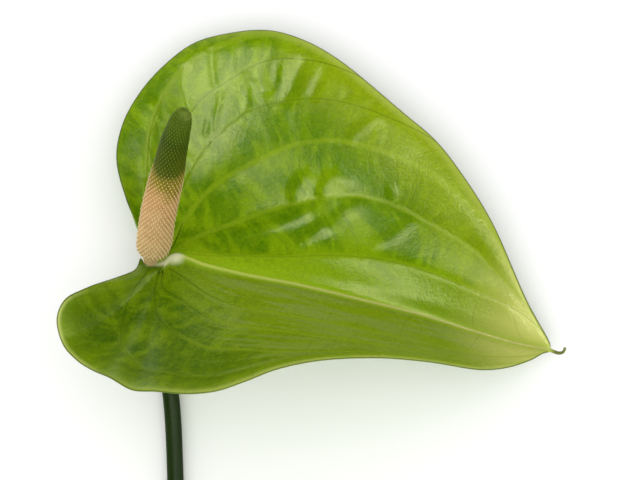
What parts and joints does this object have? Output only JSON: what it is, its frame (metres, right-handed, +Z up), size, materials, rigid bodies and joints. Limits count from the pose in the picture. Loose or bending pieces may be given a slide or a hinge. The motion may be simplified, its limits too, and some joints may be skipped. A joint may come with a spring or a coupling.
{
  "type": "flamingo flower",
  "caption": "Cut green flamingo flower lying on its stem: a glossy heart-shaped spathe folded along its midrib, with a leaning spadix of tiny florets.",
  "frame": {"origin": "middle of the ground the flower covers, on the surface it lies on", "axes": "+Z up; +Y along the stem, from its cut end to the flower; +X from the neck to the spathe's tip"},
  "size_m": [0.1408, 0.2992, 0.0659],
  "materials": {
    "spathe": "waxy leaf, glossy on the front, with sunken veins and a pale midrib",
    "spadix": "crowded florets, pinkish cream at the base, olive then dark green at the top",
    "stem": "smooth dark green flower stalk with faint lengthwise ridges"
  },
  "bodies": {
    "root": {"spathe": "spathe", "spadix": "spadix", "stem": "stem"}
  },
  "joints": []
}
